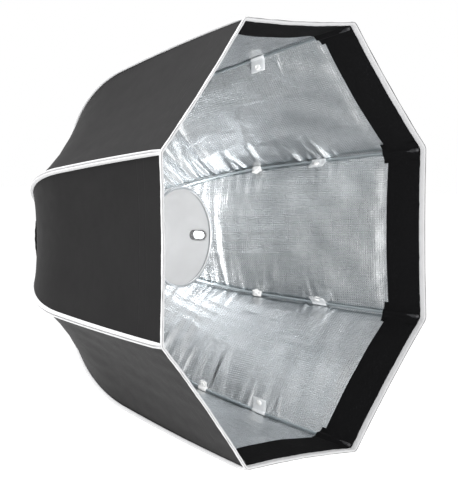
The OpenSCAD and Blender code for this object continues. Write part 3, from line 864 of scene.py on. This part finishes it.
def tab(k):
    """Webbing tab looped round the rod, with a press stud near its free end."""
    width, reach, t = 22 * MM, 20 * MM, 0.55 * MM
    gap = 1.2 * MM
    line = []
    for u in np.linspace(1, 0, 12):
        line.append((-ROD_R - gap - (reach - gap) * u, -0.75 * MM + 0.5 * MM * math.sin(2.2 * u)))
    for turn in np.linspace(-2.6, 2.6, 17):
        line.append((2.75 * MM * math.cos(turn), 2.75 * MM * math.sin(turn)))
    for u in np.linspace(0, 1, 12):
        line.append((-ROD_R - gap - (reach - gap) * u, 0.75 * MM + 0.5 * MM * math.sin(2.2 * u)))
    line = np.array(line)
    way = np.gradient(line, axis=0)
    way /= np.linalg.norm(way, axis=1, keepdims=True)
    side = np.stack([way[:, 1], -way[:, 0]], axis=1) * t / 2
    section = np.concatenate([line + side, (line - side)[::-1]])
    z = width / 2 * np.array([-1, -0.985, -0.5, 0, 0.5, 0.985, 1])
    shrink = np.array([0.6, 1, 1, 1, 1, 1, 0.6])
    centre = np.concatenate([line, line[::-1]])
    rows = []
    for place, keep in zip(z, shrink):
        xy = centre + (section - centre) * keep
        rows.append(np.stack([xy[:, 0], xy[:, 1], np.full(len(xy), place)], axis=1))
    place_on_rib(f"baffle_tab_{k}", k, TAB_PLACE, np.stack(rows), TAB_WEBBING)
    inwards = ROD_R + reach - 6.5 * MM
    cap = [(0.3, 3.0), (2.2, 3.0), (2.6, 3.6), (3.6, 3.7), (4.4, 3.2), (4.6, 2.4), (4.6, 1.2)]
    stud = lathe(np.array(cap) * MM)[..., SIDEWAYS]
    stud[..., 0] -= inwards
    place_on_rib(f"tab_stud_{k}", k, TAB_PLACE, stud, WHITE_PLASTIC)
    base = [(0.3, -1.8), (3.6, -1.8), (4.2, -1.3), (4.2, -0.2)]
    under = lathe(np.array(base) * MM)[..., SIDEWAYS]
    under[..., 0] -= inwards
    place_on_rib(f"tab_stud_back_{k}", k, TAB_PLACE, under, WHITE_PLASTIC, flip=True)


# ---------------------------------------------------------------- bowl
def face_forward(points):
    """Points drawn with the mouth along z, turned to face -Y."""
    return np.stack([points[..., 0], -points[..., 2], points[..., 1]], axis=-1)


def bowl():
    low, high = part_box("reflector_bowl")
    wall, bead_r = 0.001, 0.002
    base_z, rim_z = -high.y, -low.y - bead_r
    base_r = LAMP_R + 0.002
    rim_r = high.x - 0.003
    inside = []
    for u in np.linspace(0, 1, 60):
        swell = 0.55 * math.sin(math.pi / 2 * u) + 0.45 * u
        inside.append((base_r + (rim_r - base_r) * swell, base_z + (rim_z - base_z) * u))
    bead = []
    for turn in np.linspace(math.pi, -math.pi / 2 - 0.3, 14):
        bead.append((rim_r + wall + bead_r * math.cos(turn), rim_z + bead_r * math.sin(turn)))
    outside = [(r + wall, z) for r, z in inside[::-1][1:]]
    flange = [(base_r + 0.0100, base_z + 0.0012), (base_r + 0.0100, base_z)]
    profile = inside + bead + outside[:-1] + flange
    rings = lathe(profile, 192)
    piece = grid_piece("reflector_bowl_skin", face_forward(rings), ring=True, flip=True)
    slot_low, slot_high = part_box("slot_grommet")
    cutter = slot_cutter(slot_low, slot_high)
    cut = piece.modifiers.new("slot", "BOOLEAN")
    cut.operation = "DIFFERENCE"
    cut.object = cutter
    cut.solver = "EXACT"
    bpy.context.view_layer.update()
    made = bpy.data.meshes.new_from_object(piece.evaluated_get(bpy.context.evaluated_depsgraph_get()))
    piece.modifiers.clear()
    piece.data = made
    bpy.data.objects.remove(cutter)
    made.materials.clear()
    finish_piece(piece, BOWL_METAL)
    # The rim bead's faces take the darker copy of the metal: painted shade along the bowl's edge.
    made.materials.append(SHADED_RIM_METAL)
    for face in made.polygons:
        c = face.center
        if math.hypot(c.x, c.z) > rim_r - 0.0006 and -c.y > rim_z - 0.0026:
            face.material_index = 1
    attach(piece, "mount")
    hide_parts("reflector_bowl")


def slot_cutter(low, high):
    """A pill-shaped bar through the bowl's side, as wide and long as the slot."""
    width = high.z - low.z
    length = high.y - low.y
    turns = np.linspace(0, 2 * math.pi, 48, endpoint=False)
    y = (low.y + high.y) / 2 + np.sign(np.cos(turns)) * (length - width) / 2 + width / 2 * np.cos(turns)
    z = (low.z + high.z) / 2 + width / 2 * np.sin(turns)
    rows = [np.stack([np.full_like(y, x), y, z], axis=1) for x in (0.03, 0.1)]
    return grid_piece("slot_cutter", np.stack(rows), ring=True, caps=True)


# ---------------------------------------------------------------- cuff
def cuff():
    """Gathered cloth cuff from the hub's edge to the end of the cloth."""
    low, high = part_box("back_cuff")
    back_z, front_z = -high.y, -low.y
    hub_r = (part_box("hub_plate")[1].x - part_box("hub_plate")[0].x) / 2
    turns = np.linspace(0, 2 * math.pi, 480, endpoint=False)
    rows = []
    u_all = np.linspace(0, 1, 22)
    for u in u_all:
        z = back_z + (front_z - back_z) * u
        open_r = hub_r + 0.0006 + (high.x - hub_r - 0.0012) * smooth((u - 0.25) / 0.75) ** 0.9
        ripple = 0.0005 * np.sin(64 * turns + 1.5 * np.sin(3 * turns))
        ripple = ripple * smooth((u - 0.1) / 0.25) * (1 - 0.5 * u)
        r = open_r + ripple
        rows.append(np.stack([r * np.cos(turns), r * np.sin(turns), np.full_like(turns, z)], axis=1))
    points = face_forward(np.stack(rows))
    uv = np.stack(np.meshgrid(turns * hub_r, u_all * 0.02), axis=-1)
    piece = grid_piece("hub_cuff", points, uv, ring=True)
    finish_piece(piece, BLACK_NYLON)
    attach(piece, "hub")
    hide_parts("back_cuff")
    closed = np.concatenate([points, points[:, :1]], axis=1)
    width, length, area = cut_size(closed)


# ---------------------------------------------------------------- carried-over parts
def dress(material, *names):
    for name in names:
        for slot in frame["nodes"][name].material_slots:
            slot.material = material


TURNED = (0.2, 3.0, 0.2)
dress(metal("satin turned aluminium", (0.60, 0.61, 0.63), 0.32, grain=TURNED, scale=500), "mount_ring")
dress(metal("dark anodised aluminium", (0.10, 0.105, 0.11), 0.38, grain=TURNED, scale=500),
      "retaining_ring", "guide_sleeve")
dress(metal("plain steel", (0.55, 0.56, 0.58), 0.30), "ring_screws", "hinge_pins", "detent_springs")
dress(moulded("black hub paint", (0.016, 0.016, 0.018), 0.48, grain=600, depth=0.04), "hub_plate")
dress(LINER_PLASTIC, "slot_grommet")
dress(BLACK_PLASTIC, "slide_collar", "lock_knob", *[f"knuckle_{k}" for k in range(1, RIBS + 1)])

# ---------------------------------------------------------------- camera
AIM = Vector((0, -MOUTH, 0))
TURN, CLIMB, ROLL = math.radians(-51.84), math.radians(2.607), math.radians(-0.19)
DISTANCE, ASIDE, LIFT = 3.5958, -0.10006, -0.0039
back = Vector((math.sin(TURN) * math.cos(CLIMB), -math.cos(TURN) * math.cos(CLIMB), math.sin(CLIMB)))
right = Vector((0, 0, 1)).cross(back).normalized()
up = back.cross(right)
camera_data = bpy.data.cameras.new("camera")
camera_data.lens = 195.4
camera_data.clip_end = 100
camera = bpy.data.objects.new("camera", camera_data)
bpy.context.scene.collection.objects.link(camera)
turned = Matrix((right, up, back)).transposed() @ Matrix.Rotation(ROLL, 3, "Z")
stand = AIM + back * DISTANCE + right * ASIDE + up * LIFT
camera.matrix_world = Matrix.Translation(stand) @ turned.to_4x4()
bpy.context.scene.camera = camera

# ---------------------------------------------------------------- make it all
for n in range(1, RIBS + 1):
    cloths = outer_cloth(n)
    lining(n)
    band(n)
    binding(n)
    for piece, node in zip(cloths, (f"cloth_{n}_left", f"cloth_{n % RIBS + 1}_right")):
        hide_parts(node)
for k in range(1, RIBS + 1):
    rod(k)
    piping(k)
    tip_cap(k)
    pocket(k)
    clip(k)
    tab(k)
bowl()
cuff()


# ---------------------------------------------------------------- studio
def floor():
    half_side, drop = 30, 0.6
    steps = np.linspace(-1, 1, 3) * half_side
    x, y = np.meshgrid(steps, steps, indexing="ij")
    z = np.full_like(x, cad_box[0][2] - drop)
    piece = grid_piece("floor", np.stack([x, y, z], axis=-1))
    f = Finish("pale floor", base_color=(0.92, 0.92, 0.92), roughness=0.9, specular_ior_level=0.1)
    f.set(emission_color=(1, 1, 1), emission_strength=0.12)
    piece.data.materials.append(f.material)


def soft_light(name, place, aim, size, power):
    data = bpy.data.lights.new(name, "AREA")
    data.shape = "RECTANGLE"
    data.size, data.size_y = size
    data.energy = power
    light = bpy.data.objects.new(name, data)
    light.location = place
    light.rotation_euler = (Vector(place) - Vector(aim)).to_track_quat("Z", "Y").to_euler()
    bpy.context.scene.collection.objects.link(light)


floor()
world = bpy.data.worlds.new("studio")
world.use_nodes = True
world.node_tree.nodes["Background"].inputs["Color"].default_value = (1, 1, 1, 1)
world.node_tree.nodes["Background"].inputs["Strength"].default_value = 1.0
bpy.context.scene.world = world
bpy.context.scene.view_settings.view_transform = "Standard"
soft_light("top", (-1.3, 0.9, 2.2), (0, -0.3, 0), (1.6, 1.6), 150)
soft_light("front", (-1.9, -2.7, 0.25), (0, -0.2, 0), (0.8, 0.8), 65)
